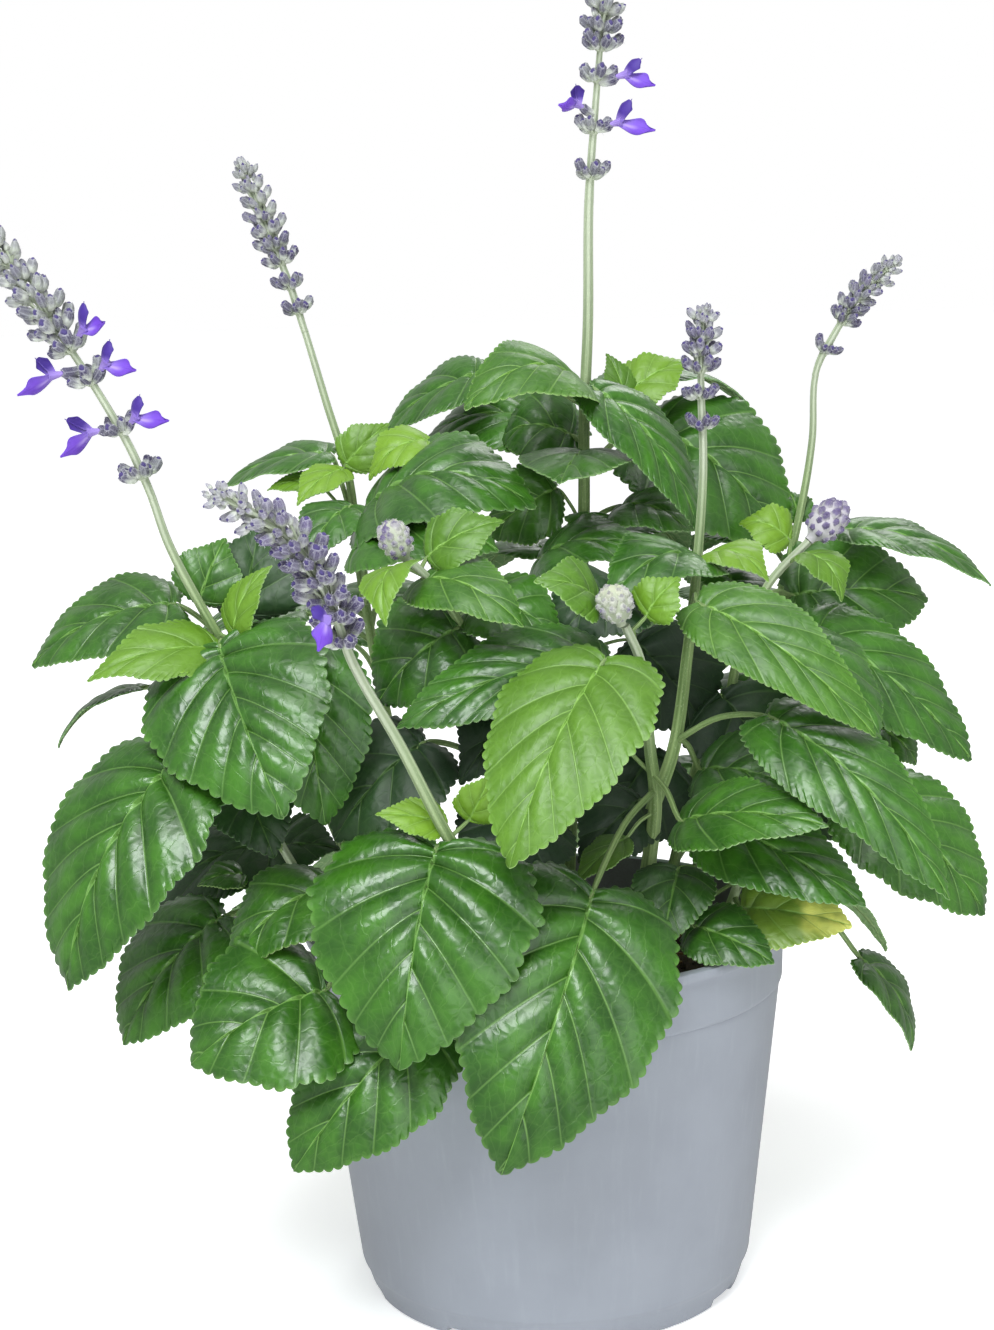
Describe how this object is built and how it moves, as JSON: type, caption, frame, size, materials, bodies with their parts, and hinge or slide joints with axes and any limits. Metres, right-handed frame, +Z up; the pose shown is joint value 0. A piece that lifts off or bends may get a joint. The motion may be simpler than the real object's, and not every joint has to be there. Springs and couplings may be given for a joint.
{
  "type": "potted flowering plant",
  "caption": "Perennial salvia with toothed leaves and grey-lilac flower spikes with violet flowers, growing in a round tapered grey plastic nursery pot filled with soil",
  "frame": {"origin": "centre of the pot's underside, on the surface it stands on", "axes": "+Z up along the pot's axis, -Y towards the front, where a flower spike leans out, +X to the right seen from the front"},
  "size_m": [0.3387, 0.2931, 0.448],
  "materials": {
    "pot_plastic": "smooth satin grey",
    "potting_mix": "coarse, damp, matte",
    "leaf_green": "quilted, slightly glossy",
    "calyx_felt": "felted, matte",
    "bud_felt": "felted, matte",
    "petal_violet": "velvety"
  },
  "bodies": {
    "root": {"pot": "pot_plastic", "soil": "potting_mix", "leafy_stem_left": "leaf_green", "leafy_stem_back_left": "leaf_green", "leafy_stem_back": "leaf_green", "leafy_stem_main": "leaf_green", "leafy_stem_right_back": "leaf_green", "leafy_stem_front_left": "leaf_green", "leafy_stem_front_centre": "leaf_green", "leafy_stem_right": "leaf_green", "leafy_stem_low_front_left": "leaf_green", "leafy_stem_low_left": "leaf_green", "leafy_stem_low_right": "leaf_green", "leafy_stem_low_back_left": "leaf_green", "leafy_stem_low_back": "leaf_green", "leafy_stem_low_back_right": "leaf_green", "flower_spike_left": "calyx_felt", "flower_spike_back_left": "calyx_felt", "flower_spike_back": "calyx_felt", "flower_spike_main": "calyx_felt", "flower_spike_right_back": "calyx_felt", "flower_spike_front_left": "calyx_felt", "bud_head_front_centre": "bud_felt", "bud_head_main": "bud_felt", "bud_head_right": "bud_felt", "open_flower_1": "petal_violet", "open_flower_2": "petal_violet", "open_flower_3": "petal_violet", "open_flower_4": "petal_violet", "open_flower_5": "petal_violet", "open_flower_6": "petal_violet", "open_flower_7": "petal_violet", "open_flower_8": "petal_violet", "open_flower_9": "petal_violet"}
  },
  "joints": []
}
